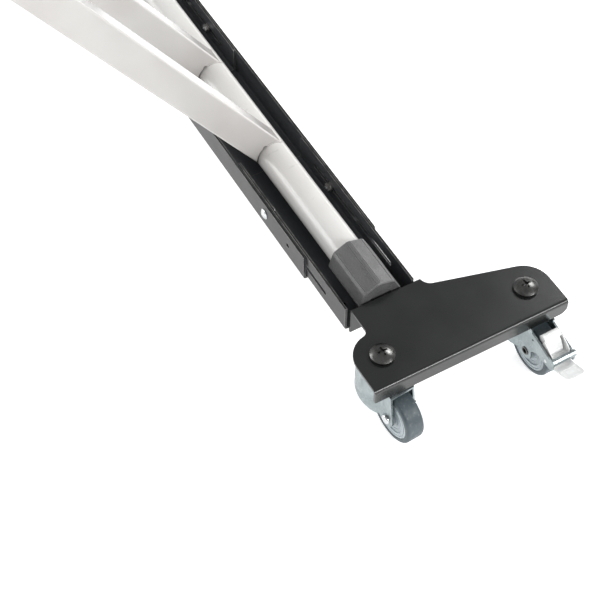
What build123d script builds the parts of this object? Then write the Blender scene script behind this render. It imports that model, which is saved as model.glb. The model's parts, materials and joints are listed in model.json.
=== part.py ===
from build123d import *
from math import cos, hypot, pi, radians, sin
import os

# Castored telescoping rail with a tubular stand foot resting in it.
# X runs along the rail, Y across it, Z up. Pieces are drawn with the rail on Y = 0
# and saved with the origin under the middle of the whole object, on the floor.
# All lengths in millimetres.

RAIL_Y = 76.8                       # rail line, from the middle of the whole object

# --- heights ---------------------------------------------------------------
WHEEL_R = 36.0                      # castor wheel radius
AXLE_DROP = 70.0                    # bracket top to wheel axle
TOP_Z = WHEEL_R + AXLE_DROP         # top face of the castor brackets
SHEET = 3.0                         # rail and bracket sheet thickness

# --- rail ------------------------------------------------------------------
OUTER_HALF_LENGTH = 265.0
OUTER_WIDTH = 100.0
OUTER_HEIGHT = 40.0
OUTER_BOTTOM_Z = TOP_Z - 42.5
NEST_GAP = 0.3                      # sliding clearance between the two channels
INNER_START, INNER_END = 91.0, 356.6
INNER_WIDTH = OUTER_WIDTH - 2 * SHEET - 2 * NEST_GAP
INNER_BOTTOM_Z = OUTER_BOTTOM_Z + SHEET + NEST_GAP
INNER_HEIGHT = TOP_Z - INNER_BOTTOM_Z
FLOOR_TOP_Z = INNER_BOTTOM_Z + SHEET
SLOT_START, SLOT_END = 126.0, 313.0
SLOT_HEIGHT = 7.0
BOLT_LINE_Z = TOP_Z - 20.0          # height of the clamp bolts and slots
CLAMP_X, SPARE_HOLE_X = 167.5, 226.0
CLAMP_BOLT_R, CLAMP_HEAD_R = 3.0, 7.2
SPARE_HOLE_R = 3.5

# --- castor bracket --------------------------------------------------------
NECK_X = 358.0                      # rear face of the bracket
NECK_Y0, NECK_Y1 = -41.5, 53.0
BRACKET_DEPTH = 114.5
CASTOR_X = NECK_X + 74.5
PLAIN_Y, BRAKED_Y = -42.6, 153.1    # the two castor pivots
EAR_R = 33.5
FRONT_FLANGE = 22.0
BEND_R = 5.0
LIP_START = 306.0
LIP_BOLT_X, LIP_BOLT_Y = 326.0, 33.0
PIVOT_BOLT_R, PIVOT_HEAD_R = 6.0, 14.8

# --- castors ---------------------------------------------------------------
TRAIL = 36.5
PLAIN_TURN, BRAKED_TURN = 4.3, 1.1  # resting swivel angle of each castor
WHEEL_W = 23.5
HUB_R, HUB_W = 29.5, 25.0
AXLE_R = 4.0
FORK_GAP = 28.0
FORK_T = 2.5
HOOD_R = 30.0
HOOD_TOP = 9.5                      # bracket top down to the fork crown
RUN_GAP = 0.05                      # radial running clearance
PEDAL_PIN_X, PEDAL_PIN_DROP = 72.0, 49.0
ROLL_X, ROLL_DROP, ROLL_R = 55.5, 28.7, 5.5

# --- stand foot ------------------------------------------------------------
FOOT_Y, FOOT_Z = 1.2, TOP_Z - 7.8   # axis of the round cross tube
TUBE_R, TUBE_WALL = 21.2, 2.0
CAP_R, CAP_LENGTH, CAP_END = 27.9, 74.0, 357.0
CAP_TURN = 5.0                      # degrees the octagon is turned about the tube
BEAM_X, BEAM_TALL, BEAM_WIDE = 82.0, 40.0, 28.0
BEAM_TILT, BEAM_WALL, BEAM_LENGTH = 54.7, 1.8, 560.0
BEAM_HOLE_R, BEAM_HOLE_BACK = 4.25, 30.0


def block(x0, x1, y0, y1, z0, z1):
    return Pos((x0 + x1) / 2, (y0 + y1) / 2, (z0 + z1) / 2) * Box(x1 - x0, y1 - y0, z1 - z0)


def cyl_x(r, x0, x1, y=0, z=0):
    return Pos((x0 + x1) / 2, y, z) * Rot(0, 90, 0) * Cylinder(r, x1 - x0)


def cyl_y(r, y0, y1, x=0, z=0):
    return Pos(x, (y0 + y1) / 2, z) * Rot(90, 0, 0) * Cylinder(r, y1 - y0)


def cyl_z(r, z0, z1, x=0, y=0):
    return Pos(x, y, (z0 + z1) / 2) * Cylinder(r, z1 - z0)


def hex_prism(across, length):
    return extrude(RegularPolygon(across / 3 ** 0.5, 6), length)


def dome(r, height, rim):
    """Round head standing on z = 0: a short straight rim under a spherical cap."""
    cap = height - rim
    ball = (r * r + cap * cap) / (2 * cap)
    return cyl_z(r, 0, rim) + (Pos(0, 0, height - ball) * Sphere(ball)) & cyl_z(r, 0, height)


def slot_y(x0, x1, z, height, y0, y1):
    """Round-ended slot through a wall that faces Y."""
    r = height / 2
    return (block(x0 + r, x1 - r, y0, y1, z - r, z + r)
            + cyl_y(r, y0, y1, x0 + r, z) + cyl_y(r, y0, y1, x1 - r, z))


def profile_y(points, y0, y1):
    """Prism along Y from (x, z) corner points."""
    face = make_face(Polyline(*[(x, -z) for x, z in points], close=True))
    return Pos(0, y0, 0) * Rot(-90, 0, 0) * extrude(face, y1 - y0)


def channel(x0, x1, width, z0, height, bend):
    """Open-topped U section with rounded floor corners."""
    w = width / 2
    shell = block(x0, x1, -w, w, z0, z0 + height)
    shell = fillet([e for e in shell.edges().filter_by(Axis.X) if e.center().Z < z0 + 1], bend + SHEET)
    room = block(x0 - 1, x1 + 1, -w + SHEET, w - SHEET, z0 + SHEET, z0 + height + 10)
    room = fillet([e for e in room.edges().filter_by(Axis.X) if e.center().Z < z0 + SHEET + 1], bend)
    return shell - room


def save(name, *solids):
    placed = [Pos(0, RAIL_Y, 0) * solid for solid in solids]
    part = placed[0] if len(placed) == 1 else Compound(children=placed)
    export_step(part, f"parts/{name}.step")


# --- rail pieces -----------------------------------------------------------
def outer_channel():
    body = channel(-OUTER_HALF_LENGTH, OUTER_HALF_LENGTH, OUTER_WIDTH, OUTER_BOTTOM_Z, OUTER_HEIGHT, 1.5)
    ends = [e for e in body.edges().filter_by(Axis.Y)
            if e.center().Z > OUTER_BOTTOM_Z + OUTER_HEIGHT - 0.1 and abs(abs(e.center().X) - OUTER_HALF_LENGTH) < 0.1]
    body = fillet(ends, 3.0)
    for x in (CLAMP_X, -CLAMP_X):
        body -= cyl_y(CLAMP_BOLT_R + 0.2, -60, 60, x, BOLT_LINE_Z)
    for x in (SPARE_HOLE_X, -SPARE_HOLE_X):
        body -= cyl_y(SPARE_HOLE_R, -60, 60, x, BOLT_LINE_Z)
    return body


def inner_channel():
    body = channel(INNER_START, INNER_END, INNER_WIDTH, INNER_BOTTOM_Z, INNER_HEIGHT, 1.5)
    ends = [e for e in body.edges().filter_by(Axis.Y)
            if e.center().Z > TOP_Z - 0.1 and abs(e.center().X - INNER_START) < 0.1]
    body = fillet(ends, 5.0)
    body -= slot_y(SLOT_START, SLOT_END, BOLT_LINE_Z, SLOT_HEIGHT, -60, 60)
    for y in (LIP_BOLT_Y, -LIP_BOLT_Y):
        body -= cyl_z(3.2, 0, TOP_Z, LIP_BOLT_X, y)
    return body


def clamp_bolt(side):
    """Round-head bolt from outside the wall, tip just past its nut."""
    out = OUTER_WIDTH / 2
    shank = cyl_y(CLAMP_BOLT_R, out - 14, out, 0, 0)
    head = Pos(0, out, 0) * Rot(-90, 0, 0) * dome(CLAMP_HEAD_R, 3.6, 0.8)
    bolt = shank + head
    return bolt if side > 0 else Rot(0, 0, 180) * bolt


def clamp_washer(side):
    y = INNER_WIDTH / 2 - SHEET
    ring = cyl_y(7.0, y - 1.7, y - 0.1) - cyl_y(CLAMP_BOLT_R + 0.05, y - 3, y + 1)
    return ring if side > 0 else Rot(0, 0, 180) * ring


def clamp_nut(side):
    y = INNER_WIDTH / 2 - SHEET - 1.8
    nut = Pos(0, y, 0) * Rot(90, 0, 0) * hex_prism(10.0, 5.0) - cyl_y(CLAMP_BOLT_R + 0.03, y - 8, y + 1)
    return nut if side > 0 else Rot(0, 0, 180) * nut


def clamp_set(piece):
    return [Pos(x, 0, BOLT_LINE_Z) * piece(side) for x in (CLAMP_X, -CLAMP_X) for side in (1, -1)]


# --- castor bracket --------------------------------------------------------
def bracket_outline():
    """Plan of the bracket, neck at x = 0: short ear on one side, long tapering ear on the other."""
    px, y_near, y_far = CASTOR_X - NECK_X, PLAIN_Y, BRAKED_Y
    blend = 8.0
    by = NECK_Y0 - blend
    bx = px - ((EAR_R + blend) ** 2 - (by - y_near) ** 2) ** 0.5
    reach = hypot(px - bx, y_near - by)
    ux, uy = (px - bx) / reach, (y_near - by) / reach
    start, end = (bx, NECK_Y0), (bx + blend * ux, by + blend * uy)
    mid_angle = (bx + blend * sin(radians(40)), by + blend * cos(radians(40)))
    ear_mid = (px - EAR_R * cos(radians(42)), y_near - EAR_R * sin(radians(42)))
    slope = radians(15.4)
    tip = (px - EAR_R * cos(slope), y_far + EAR_R * sin(slope))
    knee = (tip[0] - (tip[1] - NECK_Y1) * sin(slope) / cos(slope), NECK_Y1)
    tip_mid = (px - EAR_R * sin(radians(37)), y_far + EAR_R * cos(radians(37)))
    edges = [
        Line((0, NECK_Y0), start), ThreePointArc(start, mid_angle, end),
        ThreePointArc(end, ear_mid, (px, y_near - EAR_R)),
        Line((px, y_near - EAR_R), (BRACKET_DEPTH, y_near - EAR_R)),
        Line((BRACKET_DEPTH, y_near - EAR_R), (BRACKET_DEPTH, y_far + EAR_R)),
        Line((BRACKET_DEPTH, y_far + EAR_R), (px, y_far + EAR_R)),
        ThreePointArc((px, y_far + EAR_R), tip_mid, tip),
        Line(tip, knee), Line(knee, (0, NECK_Y1)), Line((0, NECK_Y1), (0, NECK_Y0)),
    ]
    face = make_face(edges)
    inner_corner = face.vertices().sort_by(lambda v: hypot(v.X - knee[0], v.Y - knee[1]))[0]
    return fillet(inner_corner, 14.0)


def foot_bracket():
    """One folded sheet: top plate, front flange, rear flange and a lip under the rail floor."""
    lip_z = OUTER_BOTTOM_Z
    front, flange_z = NECK_X + BRACKET_DEPTH, TOP_Z - FRONT_FLANGE
    skin = block(NECK_X, front, -80, 190, lip_z, TOP_Z)
    skin = fillet([e for e in skin.edges().filter_by(Axis.Y) if e.center().Z > TOP_Z - 1], BEND_R)
    void = block(NECK_X + SHEET, front - SHEET, -90, 200, lip_z - 5, TOP_Z - SHEET)
    void = fillet([e for e in void.edges().filter_by(Axis.Y) if e.center().Z > TOP_Z - SHEET - 1], BEND_R - SHEET)
    skin -= void
    skin -= block(front - SHEET - 1, front + 1, -90, 200, 0, flange_z)
    lip = block(LIP_START, NECK_X + SHEET, -38, 44, lip_z, lip_z + SHEET)
    lip = fillet([e for e in lip.edges().filter_by(Axis.Z) if e.center().X < LIP_START + 1], 8.0)
    plan = Pos(NECK_X, 0, lip_z - 1) * extrude(bracket_outline(), TOP_Z - lip_z + 2)
    body = (skin & plan) + lip
    low_corners = [e for e in body.edges().filter_by(Axis.X)
                   if abs(e.center().Z - flange_z) < 0.1 and e.center().X > front - SHEET - 0.1
                   and (e.center().Y < -70 or e.center().Y > 180)]
    body = fillet([e for e in low_corners if e.center().Y < 0], 3.0)
    body = fillet([e for e in body.edges().filter_by(Axis.X)
                   if abs(e.center().Z - flange_z) < 0.1 and e.center().Y > 180], 10.0)
    for y in (PLAIN_Y, BRAKED_Y):
        body -= cyl_z(PIVOT_BOLT_R + 0.2, TOP_Z - 20, TOP_Z + 5, CASTOR_X, y)
    for y in (LIP_BOLT_Y, -LIP_BOLT_Y):
        body -= cyl_z(3.2, 0, TOP_Z - 10, LIP_BOLT_X, y)
    return body


def pivot_bolt(y):
    """Large domed head with a cross recess; the shank carries the castor."""
    head = dome(PIVOT_HEAD_R, 9.0, 3.4)
    cross = block(-6, 6, -1.1, 1.1, 6.7, 12) + block(-1.1, 1.1, -6, 6, 6.7, 12)
    cross += Rot(0, 0, 45) * block(-2.4, 2.4, -2.4, 2.4, 6.3, 12)
    shank = cyl_z(PIVOT_BOLT_R, -21.0, 0)
    return Pos(CASTOR_X, y, TOP_Z) * (head - cross + shank)


def pivot_nut(y):
    nut = hex_prism(18.0, 5.5) - cyl_z(PIVOT_BOLT_R + 0.03, -1, 12)
    return Pos(CASTOR_X, y, TOP_Z - 19.5) * nut


def pivot_race(y):
    """Fixed bearing cup between the bracket and the swivelling fork."""
    cup = cyl_z(21.0, -SHEET - 3.2, -SHEET) + cyl_z(17.0, -SHEET - 6.2, -SHEET - 3.0)
    return Pos(CASTOR_X, y, TOP_Z) * (cup - cyl_z(PIVOT_BOLT_R + 0.03, -20, 1))


def lip_bolt(y):
    head = dome(5.8, 2.8, 0.6)
    shank = cyl_z(3.0, -(FLOOR_TOP_Z - OUTER_BOTTOM_Z) - 7.5, 0)
    return Pos(LIP_BOLT_X, y, FLOOR_TOP_Z) * (head + shank)


def lip_nut(y):
    nut = hex_prism(10.0, 5.0) - cyl_z(3.03, -1, 6)
    return Pos(LIP_BOLT_X, y, OUTER_BOTTOM_Z - 5.0) * nut


# --- castors: local origin on the pivot axis at bracket-top height ----------
def fork_mass(half, nose, z0, z1, rounding):
    """Solid body of the fork: round hood about the pivot running back into two straight legs."""
    hood = cyl_z(nose, z0, z1)
    hood = fillet(hood.edges().filter_by(GeomType.CIRCLE).sort_by(Axis.Z)[-1], rounding)
    back = TRAIL + 11
    plan = [(0, nose), (0, -nose), (TRAIL - 9, -half), (back, -half), (back, half), (TRAIL - 9, half)]
    legs = Pos(0, 0, z0) * extrude(make_face(Polyline(*plan, close=True)), z1 - z0)
    rims = [e for e in legs.edges() if abs(e.center().Z - z1) < 0.05 and 1 < e.center().X < back - 1]
    return hood + fillet(rims, rounding)


def fork(braked):
    """Pressed fork: hood round the bearing, two legs, skirts swept down to the axle bosses."""
    half, top, axle_z = FORK_GAP / 2 + FORK_T, -HOOD_TOP, -AXLE_DROP
    bottom = axle_z - 12
    front = TRAIL + 11
    body = fork_mass(half, HOOD_R, bottom, top, 6.0)
    body -= fork_mass(FORK_GAP / 2, HOOD_R - FORK_T, bottom - 1, top - FORK_T, 3.5)
    shoulder = [(26, 5), (26, -9.3), (33.2, -23.6), (60, -28.0), (60, 5)]
    body -= profile_y(shoulder, -60, 60)
    roof = [(24, -11.0), (32.8, -26.2), (41.5, -28.4), (41.5, -26.0), (33.2, -23.8), (25.5, -9.6)]
    body += profile_y(roof, -half, half) & fork_mass(half, HOOD_R, bottom, top, 6.0)
    under = [(-60, -50), (-26, -52), (-6, -58), (10, -65), (22, -73), (TRAIL - 8, axle_z - 7),
             (TRAIL - 8, bottom - 5), (-60, bottom - 5)]
    body -= profile_y(under, -60, 60)
    behind = [(41, -20), (41, -27), (front, axle_z), (TRAIL - 8, axle_z), (TRAIL - 8, bottom - 5),
              (70, bottom - 5), (70, -20)]
    body -= profile_y(behind, -60, 60)
    boss = cyl_y(11.0, -half, half, TRAIL, axle_z)
    body += boss - cyl_y(12, -FORK_GAP / 2, FORK_GAP / 2, TRAIL, axle_z)
    if braked:
        body += brake_frame(half)
        body -= block(36, 60, -FORK_GAP / 2, FORK_GAP / 2, -32, -18)
    body -= cyl_y(AXLE_R + RUN_GAP, -half - 1, half + 1, TRAIL, axle_z)
    return body - cyl_z(PIVOT_BOLT_R + RUN_GAP, -40, 0)


def brake_frame(half):
    """Arms reaching back from the legs past the wheel, joined by an upright bar."""
    arm = [(30, -28.2), (37.6, -28.6), (58.3, -33.6), (78.2, -38.8), (85.4, -40.0), (85.5, -52.0),
           (80.3, -54.2), (64.6, -53.4), (55, -54.2), (48, -58.5), (44, -66), (30, -66)]
    frame = profile_y(arm, -half, -half + FORK_T) + profile_y(arm, half - FORK_T, half)
    bar = [(80.8, -36.6), (84.6, -35.6), (86.6, -37.4), (87.0, -42.4), (84.6, -42.6), (84.2, -39.4), (80.8, -39.0)]
    frame += profile_y(bar, -half, half)
    frame -= cyl_y(1.3, -30, 30, 45.3, -38.6)
    return frame - cyl_y(2.5 + RUN_GAP, -30, 30, PEDAL_PIN_X, -PEDAL_PIN_DROP)


def axle(braked):
    """Axle bolt: a thin socketed head on the braked castor, a small domed one on the plain."""
    half = FORK_GAP / 2 + FORK_T
    rod = cyl_y(AXLE_R, -half - 0.5, half + 8.0)
    tall, r, rounding = (0.9, 5.6, 0.5) if braked else (3.4, 6.4, 2.2)
    head = cyl_y(r, -half - tall - 0.1, -half - 0.1)
    head = fillet(head.edges().filter_by(GeomType.CIRCLE).sort_by(Axis.Y)[0], rounding)
    bolt = head + rod
    if braked:
        bolt -= Pos(0, -half - tall - 0.2, 0) * Rot(-90, 0, 0) * hex_prism(6.8, 5.0)
    return Pos(TRAIL, 0, -AXLE_DROP) * bolt


def axle_nut():
    half = FORK_GAP / 2 + FORK_T
    nut = Pos(0, half + 0.1, 0) * Rot(-90, 0, 0) * hex_prism(13.0, 5.0) - cyl_y(AXLE_R + 0.03, half - 2, half + 8)
    return Pos(TRAIL, 0, -AXLE_DROP) * nut


def tyre():
    w = WHEEL_W / 2
    ring = cyl_y(WHEEL_R, -w, w)
    ring = fillet(ring.edges().filter_by(GeomType.CIRCLE), 3.6)
    return Pos(TRAIL, 0, -AXLE_DROP) * (ring - cyl_y(HUB_R, -20, 20))


def hub():
    """Moulded hub: rim under the tyre, stepped rings and a raised collar around the bore."""
    w, wide = WHEEL_W / 2, HUB_W / 2
    body = cyl_y(HUB_R, -w + 0.5, w - 0.5)
    rims = body.edges().filter_by(GeomType.CIRCLE)
    body = chamfer(rims, 0.6)
    for side in (-1, 1):
        for outer, inner, depth in ((22.0, 13.0, 1.5), (17.8, 16.6, 2.2), (26.5, 25.3, 0.8)):
            ring = cyl_y(outer, 0, depth) - cyl_y(inner, -1, 5)
            body -= Pos(0, w - 0.5 - depth if side > 0 else -w + 0.5, 0) * ring
    body += cyl_y(9.0, -wide, wide)
    return Pos(TRAIL, 0, -AXLE_DROP) * (body - cyl_y(AXLE_R + RUN_GAP, -30, 30))


def spacers():
    """Thin bushes that keep the hub off the fork legs."""
    rings = []
    for side in (-1, 1):
        y0, y1 = sorted((side * (HUB_W / 2 + 0.15), side * (FORK_GAP / 2 - 0.15)))
        rings.append(Pos(TRAIL, 0, -AXLE_DROP) * (cyl_y(7.0, y0, y1) - cyl_y(AXLE_R + 0.03, -30, 30)))
    return rings


def brake_pedal():
    """Ribbed press bar on top, curved plate and cheeks between the arms, tab under the cross bar."""
    w = FORK_GAP / 2 - 1.2
    roll = cyl_y(ROLL_R, -w + 1.2, w - 1.2, ROLL_X, -ROLL_DROP)
    for turn in range(14):
        a = turn * pi / 7
        roll -= cyl_y(0.75, -w, w, ROLL_X + (ROLL_R + 0.1) * cos(a), -ROLL_DROP + (ROLL_R + 0.1) * sin(a))
    plate = [(56, -33), (60.5, -30), (64.5, -33.5), (69, -40), (71.5, -46), (73.5, -52), (80, -54.5),
             (80, -57.4), (72, -57), (69.4, -52), (66.8, -46), (62.8, -40)]
    tab = [(78, -54.2), (88, -50.6), (111, -41.8), (111, -44.4), (89, -53.2), (80, -57.4)]
    cheek = [(57, -35), (60, -27.5), (64.5, -28.4), (78.8, -38.5), (79, -43.5), (72, -54), (62, -48)]
    leaf = profile_y(tab, -w, w)
    leaf = fillet([e for e in leaf.edges().filter_by(Axis.Z) if e.center().X > 110], 6.0)
    tray = Pos(95.0, 0, -48.6) * Rot(0, -20.9, 0) * block(-1, 13, -w + 2.2, w - 2.2, 0.3, 4)
    body = roll + profile_y(plate, -9.6, 9.6) + leaf - tray
    for side in (-1, 1):
        y0, y1 = sorted((side * (w - 1.0), side * w))
        body += profile_y(cheek, y0, y1)
    shoe = cyl_y(42.5, -9, 9, TRAIL, -AXLE_DROP) - cyl_y(WHEEL_R + 3.0, -10, 10, TRAIL, -AXLE_DROP)
    body += shoe & profile_y([(57, -33), (66, -33), (72, -45), (62, -47)], -9, 9)
    body += cyl_y(4.5, -w, w, PEDAL_PIN_X, -PEDAL_PIN_DROP)
    return body - cyl_y(2.5 + RUN_GAP, -w - 1, w + 1, PEDAL_PIN_X, -PEDAL_PIN_DROP)


def pedal_pin():
    """Plain pin, its ends level with the outer faces of the arms."""
    half = FORK_GAP / 2 + FORK_T
    return cyl_y(2.5, -half, half, PEDAL_PIN_X, -PEDAL_PIN_DROP)


def place(part, braked, far):
    """Stand a castor piece on its pivot, turned to its resting angle."""
    y, turn = (BRAKED_Y, BRAKED_TURN) if braked else (PLAIN_Y, PLAIN_TURN)
    part = Pos(CASTOR_X, y, TOP_Z) * Rot(0, 0, turn) * part
    return mirror(part, Plane.YZ) if far else part


# --- stand foot ------------------------------------------------------------
def cross_tube():
    end = CAP_END - 4.0
    return cyl_x(TUBE_R, -end, end, FOOT_Y, FOOT_Z) - cyl_x(TUBE_R - TUBE_WALL, -end - 1, end + 1, FOOT_Y, FOOT_Z)


def octagon(r, width, turn):
    """Octagon with narrow flats along its corners."""
    points = []
    for corner in range(8):
        for side in (-1, 1):
            a = radians(turn + corner * 45 + side * width)
            points.append((r * cos(a), r * sin(a)))
    return make_face(Polyline(*points, close=True))


def end_cap():
    """Octagonal sleeve over the tube end with grooves beside each corner strip."""
    start = CAP_END - CAP_LENGTH
    body = extrude(Plane.YZ * octagon(CAP_R, 3.5, CAP_TURN), CAP_LENGTH)
    outline = [e for e in body.edges() if abs(e.center().X) < 0.01 or abs(e.center().X - CAP_LENGTH) < 0.01]
    body = chamfer(outline, 1.2)
    for corner in range(8):
        for side in (-1, 1):
            a = radians(CAP_TURN + corner * 45 + side * 5.2)
            y, z = (CAP_R - 0.15) * cos(a), (CAP_R - 0.15) * sin(a)
            body -= cyl_x(0.7, -1, CAP_LENGTH - 3, y, z)
    body -= cyl_x(TUBE_R + 0.05, -1, CAP_LENGTH - 3.9)
    body -= cyl_x(TUBE_R - 6, CAP_LENGTH - 1.2, CAP_LENGTH + 1)
    return Pos(start, FOOT_Y, FOOT_Z) * body


def beam_frame(x):
    """Plane at the tube axis: local Z along the beam, local Y square to it."""
    return Pos(x, FOOT_Y, FOOT_Z) * Rot(90 - BEAM_TILT, 0, 0)


def beam(x):
    bar = extrude(RectangleRounded(BEAM_WIDE, BEAM_TALL, 2.5), BEAM_LENGTH)
    bore = extrude(RectangleRounded(BEAM_WIDE - 2 * BEAM_WALL, BEAM_TALL - 2 * BEAM_WALL, 1.0), BEAM_LENGTH + 1)
    hole = cyl_x(BEAM_HOLE_R, -30, 30, 0, BEAM_LENGTH - BEAM_HOLE_BACK)
    vent = cyl_x(2.7, -30, 30, 2.0, TUBE_R + 0.6)
    gap = cyl_x(TUBE_R + 1.2, -30, 30) & block(-30, 30, -19, 1.5, 0, 30)
    return beam_frame(x) * (bar - bore - hole - vent - gap - cyl_x(TUBE_R + 0.02, -40, 40))


def beam_plug(x):
    """Moulded plug pressed into the open end of a beam: domed face over a hollow skirt."""
    wide, tall = BEAM_WIDE - 2 * BEAM_WALL - 0.4, BEAM_TALL - 2 * BEAM_WALL - 0.4
    skirt = extrude(RectangleRounded(wide, tall, 0.9), 18)
    skirt -= Pos(0, 0, -1) * extrude(RectangleRounded(wide - 4, tall - 4, 1.5), 16)
    face = Pos(0, 0, 18.1) * extrude(RectangleRounded(BEAM_WIDE, BEAM_TALL, 2.5), 3.5)
    face = fillet(face.edges().group_by(Axis.Z)[-1], 1.5)
    neck = Pos(0, 0, 17.9) * extrude(RectangleRounded(wide - 1, tall - 1, 0.9), 0.4)
    return beam_frame(x) * Pos(0, 0, BEAM_LENGTH - 18) * (skirt + neck + face)


# --- write every piece -----------------------------------------------------
os.makedirs("parts", exist_ok=True)

save("outer_channel", outer_channel())
save("clamp_bolts", *clamp_set(clamp_bolt))
save("clamp_washers", *clamp_set(clamp_washer))
save("clamp_nuts", *clamp_set(clamp_nut))

for end, far in (("near", False), ("far", True)):
    def ended(part):
        return mirror(part, Plane.YZ) if far else part

    save(f"inner_channel_{end}", ended(inner_channel()))
    save(f"foot_bracket_{end}", ended(foot_bracket()))
    save(f"lip_bolts_{end}", *[ended(lip_bolt(y)) for y in (LIP_BOLT_Y, -LIP_BOLT_Y)])
    save(f"lip_nuts_{end}", *[ended(lip_nut(y)) for y in (LIP_BOLT_Y, -LIP_BOLT_Y)])
    save(f"pivot_bolts_{end}", *[ended(pivot_bolt(y)) for y in (PLAIN_Y, BRAKED_Y)])
    save(f"pivot_nuts_{end}", *[ended(pivot_nut(y)) for y in (PLAIN_Y, BRAKED_Y)])
    save(f"pivot_races_{end}", *[ended(pivot_race(y)) for y in (PLAIN_Y, BRAKED_Y)])
    for braked in (False, True):
        tag = f"{'braked' if braked else 'plain'}_{end}"
        save(f"fork_{tag}", place(fork(braked), braked, far))
        save(f"axle_{tag}", place(axle(braked), braked, far))
        save(f"axle_nut_{tag}", place(axle_nut(), braked, far))
        save(f"axle_bushes_{tag}", *[place(ring, braked, far) for ring in spacers()])
        save(f"tyre_{tag}", place(tyre(), braked, far))
        save(f"hub_{tag}", place(hub(), braked, far))
    save(f"brake_pedal_{end}", place(brake_pedal(), True, far))
    save(f"pedal_pin_{end}", place(pedal_pin(), True, far))
    save(f"end_cap_{end}", ended(end_cap()))

save("cross_tube", cross_tube())
for name, x in (("near", BEAM_X), ("far", -BEAM_X)):
    save(f"beam_{name}", beam(x))
    save(f"beam_plug_{name}", beam_plug(x))
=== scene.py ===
import json
import math

import bmesh
import bpy
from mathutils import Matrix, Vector


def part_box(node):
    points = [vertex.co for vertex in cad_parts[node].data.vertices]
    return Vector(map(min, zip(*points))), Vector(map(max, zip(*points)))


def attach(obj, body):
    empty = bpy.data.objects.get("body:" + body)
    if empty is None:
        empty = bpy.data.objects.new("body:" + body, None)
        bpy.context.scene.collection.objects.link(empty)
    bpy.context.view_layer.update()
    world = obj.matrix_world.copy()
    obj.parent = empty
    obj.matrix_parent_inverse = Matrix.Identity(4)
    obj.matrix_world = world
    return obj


# Looks for the castored telescoping rail with a tubular stand foot in its trough.
# Metres throughout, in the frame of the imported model: X along the rail, Z up.

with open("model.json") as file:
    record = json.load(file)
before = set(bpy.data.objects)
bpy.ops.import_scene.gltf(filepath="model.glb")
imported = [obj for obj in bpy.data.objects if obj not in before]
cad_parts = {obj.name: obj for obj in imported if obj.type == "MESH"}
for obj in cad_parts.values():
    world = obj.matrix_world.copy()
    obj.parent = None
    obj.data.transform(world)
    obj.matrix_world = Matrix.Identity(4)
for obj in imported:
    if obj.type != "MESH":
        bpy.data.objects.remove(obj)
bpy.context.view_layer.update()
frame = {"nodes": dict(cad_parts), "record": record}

rail_low, rail_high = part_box("outer_channel")
RAIL_Y = (rail_low.y + rail_high.y) / 2     # middle line of the rail

# Camera
AZIMUTH, ELEVATION = math.radians(60.575), math.radians(52.69)
CAMERA_PLACE = Vector((1.21378, RAIL_Y - 0.59001, 1.45475))
CAMERA_LENS, CAMERA_SENSOR = 87.68, 36.0    # millimetres

# Studio
FLOOR_SIZE, FLOOR_GLOW = 30.0, 0.66
SKY_STRENGTH = 0.38

# Fine pieces
WELD_R, WELD_PROUD = 0.0011, 0.0002         # bead radius, and its middle above the tube
WELD_FROM, WELD_TO = -40, 24                # degrees about the tube, 0 straight up
WELD_POINTS = 34
SEAM_R, SEAM_SUNK = 0.00032, 0.00027        # seam radius, and its middle below the tread
SEAM_STEP = 3                               # degrees


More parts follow.
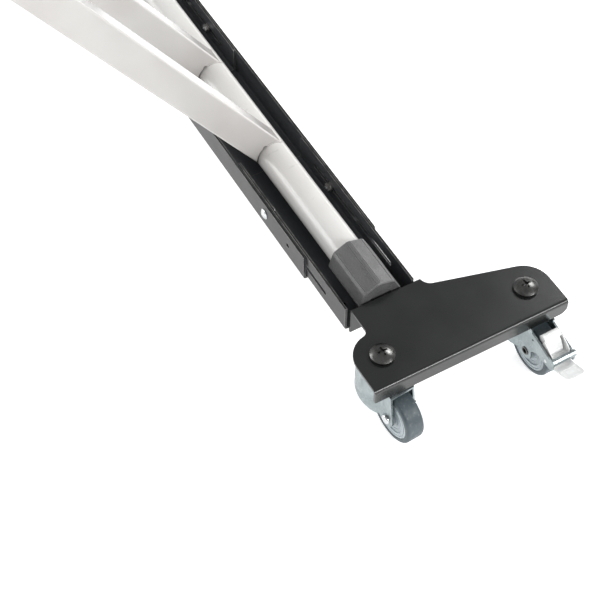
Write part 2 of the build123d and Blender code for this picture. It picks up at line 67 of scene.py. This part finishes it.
# --- material building blocks ------------------------------------------------
class Finish:
    """A node material grown step by step around its Principled shader."""

    def __init__(self, name, roughness=0.5, metallic=0.0, ior=1.5, coat=0.0, coat_roughness=0.1):
        self.material = bpy.data.materials.new(name)
        self.material.use_nodes = True
        self.tree = self.material.node_tree
        self.shader = self.tree.nodes["Principled BSDF"]
        self.set("Roughness", roughness)
        self.set("Metallic", metallic)
        self.set("IOR", ior)
        self.set("Coat Weight", coat)
        self.set("Coat Roughness", coat_roughness)
        self.place = self.add("ShaderNodeTexCoord").outputs["Object"]
        self.height = None

    def add(self, kind, **settings):
        node = self.tree.nodes.new(kind)
        for key, value in settings.items():
            setattr(node, key, value)
        return node

    def link(self, source, target):
        self.tree.links.new(source, target)

    def set(self, socket, value):
        self.shader.inputs[socket].default_value = value

    def noise(self, scale, detail=2.0, stretch=(1, 1, 1), distortion=0.0):
        """Noise in 0..1; scale is features per metre."""
        mapping = self.add("ShaderNodeMapping")
        mapping.inputs["Scale"].default_value = stretch
        self.link(self.place, mapping.inputs["Vector"])
        texture = self.add("ShaderNodeTexNoise")
        texture.inputs["Scale"].default_value = scale
        texture.inputs["Detail"].default_value = detail
        texture.inputs["Distortion"].default_value = distortion
        self.link(mapping.outputs["Vector"], texture.inputs["Vector"])
        return texture.outputs["Fac"]

    def cells(self, scale):
        """Distance to the nearest of many scattered points."""
        texture = self.add("ShaderNodeTexVoronoi")
        texture.inputs["Scale"].default_value = scale
        self.link(self.place, texture.inputs["Vector"])
        return texture.outputs["Distance"]

    def remap(self, value, low, high, to_low=0.0, to_high=1.0):
        """Stretch value from low..high to to_low..to_high, clamped."""
        node = self.add("ShaderNodeMapRange", interpolation_type="SMOOTHSTEP")
        limits = {"From Min": low, "From Max": high, "To Min": to_low, "To Max": to_high}
        for key, number in limits.items():
            node.inputs[key].default_value = number
        self.link(value, node.inputs["Value"])
        return node.outputs["Result"]

    def maths(self, operation, a, b):
        node = self.add("ShaderNodeMath", operation=operation)
        for socket, value in zip(node.inputs, (a, b)):
            if isinstance(value, (int, float)):
                socket.default_value = value
            else:
                self.link(value, socket)
        return node.outputs["Value"]

    def blend(self, factor, first, second):
        """Colour between first and second; each is a colour or a socket."""
        node = self.add("ShaderNodeMix", data_type="RGBA")
        self.link(factor, node.inputs["Factor"])
        for socket, value in ((node.inputs["A"], first), (node.inputs["B"], second)):
            if isinstance(value, tuple):
                socket.default_value = (*value, 1.0)
            else:
                self.link(value, socket)
        return node.outputs["Result"]

    def recesses(self, reach, shallow=0.85, deep=0.35):
        """1 deep inside folds and troughs, 0 on open faces; reach in metres."""
        open_sky = self.add("ShaderNodeAmbientOcclusion", samples=8)
        open_sky.inputs["Distance"].default_value = reach
        return self.remap(open_sky.outputs["AO"], shallow, deep)

    def edges(self, width):
        """1 along convex and concave edges, 0 on the flats, within width metres of the edge."""
        soft = self.add("ShaderNodeBevel", samples=6)
        soft.inputs["Radius"].default_value = width
        plain = self.add("ShaderNodeNewGeometry")
        dot = self.add("ShaderNodeVectorMath", operation="DOT_PRODUCT")
        self.link(soft.outputs["Normal"], dot.inputs[0])
        self.link(plain.outputs["Normal"], dot.inputs[1])
        return self.remap(dot.outputs["Value"], 0.995, 0.86)

    def colour(self, socket):
        self.link(socket, self.shader.inputs["Base Color"])

    def rough(self, socket):
        self.link(socket, self.shader.inputs["Roughness"])

    def bump(self, height, depth, strength=1.0):
        """Add relief of depth metres on top of any relief already there."""
        node = self.add("ShaderNodeBump")
        node.inputs["Strength"].default_value = strength
        node.inputs["Distance"].default_value = depth
        self.link(height, node.inputs["Height"])
        if self.height is not None:
            self.link(self.height, node.inputs["Normal"])
        self.height = node.outputs["Normal"]
        self.link(self.height, self.shader.inputs["Normal"])
        if self.shader.inputs["Coat Weight"].default_value > 0:
            self.link(self.height, self.shader.inputs["Coat Normal"])


def powder_coat(name, dark, light, wear_and_edge_highlight, painted_recess_light, roughness, ior=1.5, peel=0.00002):
    """Satin powder coat: orange peel, clouding, painted fill light deep in the folds, paint wear with a
    painted highlight along edges.
    """
    f = Finish(name, roughness=roughness, ior=ior)
    cloud = f.remap(f.noise(14.0, detail=4.0), 0.3, 0.7)
    paint = f.blend(cloud, dark, light)
    # Lighter deep in folds and troughs: painted fill light where the lamps leave the inside dark.
    paint = f.blend(f.recesses(reach=0.05), paint, painted_recess_light)
    # Edges lighter in patches: paint wear, with a painted highlight along the sheet edges.
    patches = f.remap(f.noise(70.0, detail=5.0), 0.32, 0.55, to_low=0.25, to_high=1.0)
    worn_and_highlit_edges = f.maths("MULTIPLY", f.edges(width=0.0012), patches)
    f.colour(f.blend(worn_and_highlit_edges, paint, wear_and_edge_highlight))
    f.rough(f.remap(f.noise(22.0, 2.0), 0.3, 0.7, roughness - 0.015, roughness + 0.02))
    f.bump(f.noise(900.0, 2.0), peel)
    return f.material


def gloss_white(name, dark, light):
    """Thick glossy white enamel, softly waved, with near-black painted shade deep inside openings and joint
    gaps.
    """
    f = Finish(name, roughness=0.2, coat=0.35, coat_roughness=0.08)
    tint = f.blend(f.remap(f.noise(9.0, detail=3.0), 0.35, 0.65), dark, light)
    scuff = f.remap(f.noise(160.0, detail=6.0, stretch=(1, 0.35, 0.35)), 0.66, 0.74)
    enamel = f.blend(f.maths("MULTIPLY", scuff, 0.35), tint, (0.55, 0.54, 0.52))
    # Near-black painted shade wherever the surface is deeply hemmed in: inside openings and in joint gaps.
    painted_opening_shade = f.recesses(reach=0.012, shallow=0.54, deep=0.3)
    f.colour(f.blend(painted_opening_shade, enamel, (0.006, 0.006, 0.006)))
    f.rough(f.remap(f.noise(45.0, detail=3.0), 0.3, 0.7, 0.16, 0.27))
    f.bump(f.noise(420.0, detail=2.0), depth=0.00005)
    f.bump(f.noise(40.0, detail=1.0), depth=0.0002, strength=0.25)
    return f.material


def zinc(name, dark, light, roughness, grain=900.0, relief=0.00003):
    """Metal plating: fine drawn grain, cloudy passivation, duller edges, near-black painted shade in deep
    sockets.
    """
    f = Finish(name, roughness=roughness, metallic=1.0)
    cloud = f.remap(f.noise(60.0, detail=5.0, distortion=0.6), 0.3, 0.7)
    plate = f.blend(cloud, dark, light)
    dull = tuple(channel * 0.55 for channel in dark)
    plate = f.blend(f.maths("MULTIPLY", f.edges(width=0.0009), 0.5), plate, dull)
    # Near-black painted shade deep in sockets and recesses.
    painted_socket_shade = f.recesses(reach=0.005, shallow=0.45, deep=0.15)
    f.colour(f.blend(painted_socket_shade, plate, (0.02, 0.024, 0.022)))
    f.rough(f.remap(f.noise(220.0, detail=4.0), 0.3, 0.7, roughness - 0.07, roughness + 0.09))
    f.bump(f.noise(grain, detail=3.0, stretch=(1, 1, 0.2)), relief)
    return f.material


def rubber(name):
    """Thermoplastic tyre: satin, slightly mottled, with fine mould grain and floor dust."""
    f = Finish(name, roughness=0.5)
    mottle = f.remap(f.noise(80.0, detail=4.0), 0.3, 0.7)
    body = f.blend(mottle, (0.055, 0.078, 0.09), (0.08, 0.105, 0.118))
    dust = f.remap(f.noise(320.0, detail=6.0), 0.56, 0.72, to_low=0.0, to_high=0.35)
    f.colour(f.blend(dust, body, (0.24, 0.25, 0.25)))
    f.rough(f.remap(f.noise(150.0, detail=3.0), 0.3, 0.7, 0.42, 0.58))
    f.bump(f.noise(1500.0, detail=3.0), depth=0.00005)
    return f.material


def moulded(name, dark, light, roughness, grain=1800.0, relief=0.00005, coat=0.0, painted_edge_highlight=0.35):
    """Injection-moulded plastic: sparked grain, soft flow marks, a painted highlight along the edges."""
    f = Finish(name, roughness=roughness, coat=coat)
    flow = f.remap(f.noise(35.0, detail=3.0, stretch=(0.5, 1, 1), distortion=1.2), 0.3, 0.7)
    body = f.blend(flow, dark, light)
    speckle_and_highlight_tone = tuple(min(1.0, channel * 1.7 + 0.01) for channel in light)
    speckle = f.remap(f.cells(grain), 0.3, 0.75, to_low=0.0, to_high=0.4)
    body = f.blend(speckle, body, speckle_and_highlight_tone)
    # Lighter along the edges: a painted highlight, strongest on the cap's ridges.
    f.colour(f.blend(f.maths("MULTIPLY", f.edges(width=0.0013), painted_edge_highlight), body, speckle_and_highlight_tone))
    f.rough(f.remap(f.noise(120.0, detail=3.0), 0.3, 0.7, roughness - 0.07, roughness + 0.07))
    f.bump(f.cells(grain), relief)
    f.bump(f.noise(300.0, detail=2.0), relief * 0.6)
    return f.material


# --- finishes ------------------------------------------------------------------
MATERIALS = {
    # In the powder coats the recess colour is painted fill light, and the edge colour is paint wear with a
    # painted highlight.
    "rail_black": powder_coat("rail_black", dark=(0.007, 0.007, 0.0073), light=(0.011, 0.011, 0.0113),
                              wear_and_edge_highlight=(0.34, 0.335, 0.32), painted_recess_light=(0.08, 0.085, 0.094), roughness=0.31),
    "bracket_black": powder_coat("bracket_black", dark=(0.006, 0.0072, 0.0068), light=(0.01, 0.0115, 0.0108),
                                 wear_and_edge_highlight=(0.1, 0.102, 0.098), painted_recess_light=(0.014, 0.015, 0.015),
                                 roughness=0.25, ior=1.6),
    "bolt_black": zinc("bolt_black", dark=(0.085, 0.085, 0.083), light=(0.16, 0.16, 0.156), roughness=0.27),
    "nut_dull": zinc("nut_dull", dark=(0.34, 0.335, 0.32), light=(0.46, 0.455, 0.44), roughness=0.3),
    "zinc": zinc("zinc", dark=(0.6, 0.62, 0.63), light=(0.74, 0.76, 0.77), roughness=0.24),
    "zinc_pressed": zinc("zinc_pressed", dark=(0.275, 0.315, 0.325), light=(0.365, 0.41, 0.42),
                         roughness=0.32, grain=500.0),
    "tyre_grey": rubber("tyre_grey"),
    "hub_grey": moulded("hub_grey", dark=(0.3, 0.35, 0.375), light=(0.38, 0.43, 0.455), roughness=0.38),
    "pedal_white": moulded("pedal_white", dark=(0.88, 0.89, 0.885), light=(0.94, 0.945, 0.94),
                           roughness=0.26, coat=0.3),
    "tube_white": gloss_white("tube_white", dark=(0.74, 0.725, 0.7), light=(0.79, 0.785, 0.765)),
    # beam_white: the foot's white enamel in a darker copy, the darkening painted shade on the beams.
    "beam_white": gloss_white("beam_white", dark=(0.54, 0.52, 0.503), light=(0.585, 0.572, 0.555)),
    # cap_black: its edge ridges carry a strong painted highlight.
    "cap_black": moulded("cap_black", dark=(0.085, 0.085, 0.086), light=(0.125, 0.125, 0.126),
                         roughness=0.36, grain=1000.0, relief=0.00015, painted_edge_highlight=0.9),
    "plug_white": moulded("plug_white", dark=(0.66, 0.65, 0.63), light=(0.72, 0.71, 0.69), roughness=0.45),
}

# Nodes that look different from the rest of their material slot.
FINISH_OF = {"clamp_nuts": "nut_dull", "clamp_washers": "nut_dull",
             "axle_braked_near": "bolt_black", "axle_braked_far": "bolt_black",
             "beam_near": "beam_white", "beam_far": "beam_white"}
slot_of = {part["node"]: part["material_slot"] for part in frame["record"]["subparts"]}
for node, obj in frame["nodes"].items():
    obj.data.materials.clear()
    obj.data.materials.append(MATERIALS[FINISH_OF.get(node, slot_of[node])])


# --- fine pieces ---------------------------------------------------------------
def add_piece(name, verts, faces, finish, body):
    """Smooth mesh piece that moves with a body of the model."""
    mesh = bpy.data.meshes.new(name)
    mesh.from_pydata(verts, [], faces)
    mesh.polygons.foreach_set("use_smooth", [True] * len(mesh.polygons))
    mesh.materials.append(MATERIALS[finish])
    piece = bpy.data.objects.new(name, mesh)
    bpy.context.scene.collection.objects.link(piece)
    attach(piece, body)


def bead(path, radius, ripple=0.0, closed=False, around=10):
    """Vertices and faces of a round bead along a path of (point, outward, sideways).

    Its thickness ripples like weld metal, and an open bead tapers and closes at both ends.
    """
    verts, faces = [], []
    last = len(path) - 1
    for index, (point, outward, sideways) in enumerate(path):
        taper = 1.0 if closed else min(1.0, 0.35 + 0.3 * min(index, last - index))
        r = radius * taper * (1 + ripple * math.sin(index * 1.7))
        for step in range(around):
            turn = 2 * math.pi * step / around
            verts.append(point + (outward * math.cos(turn) + sideways * math.sin(turn)) * r)
    for row in range(len(path) if closed else last):
        here, there = row * around, (row + 1) % len(path) * around
        for step in range(around):
            after = (step + 1) % around
            faces.append((here + step, here + after, there + after, there + step))
    if not closed:
        faces += [tuple(range(around)), tuple(reversed(range(last * around, len(path) * around)))]
    return verts, faces


def circle_path(centre, axis, radius, angles):
    """Points on a circle about axis, at angles in degrees with 0 straight up."""
    up = Vector((0, 0, 1))
    across = axis.cross(up)
    path = []
    for angle in map(math.radians, angles):
        outward = up * math.cos(angle) + across * math.sin(angle)
        path.append((centre + outward * radius, outward, axis))
    return path


def beam_welds():
    """A thin weld bead on the upper part of each beam's joint with the cross tube."""
    low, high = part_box("cross_tube")
    tube_y, tube_z, tube_r = (low.y + high.y) / 2, (low.z + high.z) / 2, (high.y - low.y) / 2
    pitch = (WELD_TO - WELD_FROM) / (WELD_POINTS - 1)
    angles = [WELD_FROM + pitch * index for index in range(WELD_POINTS)]
    for end in ("near", "far"):
        low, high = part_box(f"beam_{end}")
        for side, x in (("inner", low.x), ("outer", high.x)):
            path = circle_path(Vector((x, tube_y, tube_z)), Vector((1, 0, 0)), tube_r + WELD_PROUD, angles)
            verts, faces = bead(path, WELD_R, ripple=0.14)
            add_piece(f"weld_{end}_{side}", verts, faces, "beam_white", "stand_foot")


def tyre_seams():
    """Mould parting line round the tread of every tyre, square to its wheel's axle."""
    axis_of = {joint["child"]: joint["axis"] for joint in frame["record"]["behaviour"]["joints"]}
    for node in frame["nodes"]:
        if not node.startswith("tyre_"):
            continue
        tag = node.removeprefix("tyre_")
        wheel = f"wheel_{tag}"
        low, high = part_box(node)
        centre, tyre_r = (low + high) / 2, (high.z - low.z) / 2
        path = circle_path(centre, Vector(axis_of[wheel]), tyre_r - SEAM_SUNK, range(0, 360, SEAM_STEP))
        verts, faces = bead(path, SEAM_R, closed=True, around=6)
        add_piece(f"seam_{tag}", verts, faces, "tyre_grey", wheel)


beam_welds()
tyre_seams()


# --- studio --------------------------------------------------------------------
def studio_floor():
    """Large pale sheet under the wheels, glowing a little, with the faintest paper grain."""
    mesh = bpy.data.meshes.new("floor")
    bm = bmesh.new()
    bmesh.ops.create_grid(bm, x_segments=8, y_segments=8, size=FLOOR_SIZE / 2)
    bm.to_mesh(mesh)
    bm.free()
    floor = bpy.data.objects.new("floor", mesh)
    bpy.context.scene.collection.objects.link(floor)
    f = Finish("floor", roughness=0.6)
    f.set("Emission Color", (1.0, 1.0, 1.0, 1.0))
    f.set("Emission Strength", FLOOR_GLOW)
    f.colour(f.blend(f.noise(5.0, detail=3.0), (0.93, 0.93, 0.93), (0.96, 0.96, 0.96)))
    f.bump(f.noise(900.0, detail=3.0), depth=0.00004)
    mesh.materials.append(f.material)


def softbox(name, place, target, size, watts):
    """Rectangular light at place, facing target."""
    light = bpy.data.lights.new(name, "AREA")
    light.shape = "RECTANGLE"
    light.size, light.size_y = size
    light.energy = watts
    obj = bpy.data.objects.new(name, light)
    bpy.context.scene.collection.objects.link(obj)
    obj.location = place
    obj.rotation_euler = (Vector(target) - Vector(place)).to_track_quat("-Z", "Y").to_euler()


def sky():
    """Even white light from all round."""
    world = bpy.data.worlds.new("studio")
    world.use_nodes = True
    background = world.node_tree.nodes["Background"]
    background.inputs["Color"].default_value = (1.0, 1.0, 1.0, 1.0)
    background.inputs["Strength"].default_value = SKY_STRENGTH
    bpy.context.scene.world = world


def camera():
    """Camera above and beyond the rail's +X end, a little to its -Y side."""
    data = bpy.data.cameras.new("camera")
    data.lens, data.sensor_width = CAMERA_LENS, CAMERA_SENSOR
    level = math.cos(ELEVATION)
    back = Vector((math.sin(AZIMUTH) * level, -math.cos(AZIMUTH) * level, math.sin(ELEVATION)))
    obj = bpy.data.objects.new("camera", data)
    bpy.context.scene.collection.objects.link(obj)
    obj.location = CAMERA_PLACE
    obj.rotation_euler = back.to_track_quat("Z", "Y").to_euler()
    bpy.context.scene.camera = obj


studio_floor()
sky()
softbox("key", place=(-0.3, 2.1, 1.7), target=(0.3, RAIL_Y, 0.1), size=(1.2, 1.2), watts=42.0)
softbox("side", place=(-1.3, -1.95, 0.95), target=(0.3, RAIL_Y, 0.15), size=(1.9, 1.2), watts=27.0)
softbox("front", place=(2.2, 0.75, 1.15), target=(0.45, RAIL_Y + 0.05, 0.1), size=(1.3, 0.4), watts=28.0)
camera()
bpy.context.scene.view_settings.view_transform = "Standard"
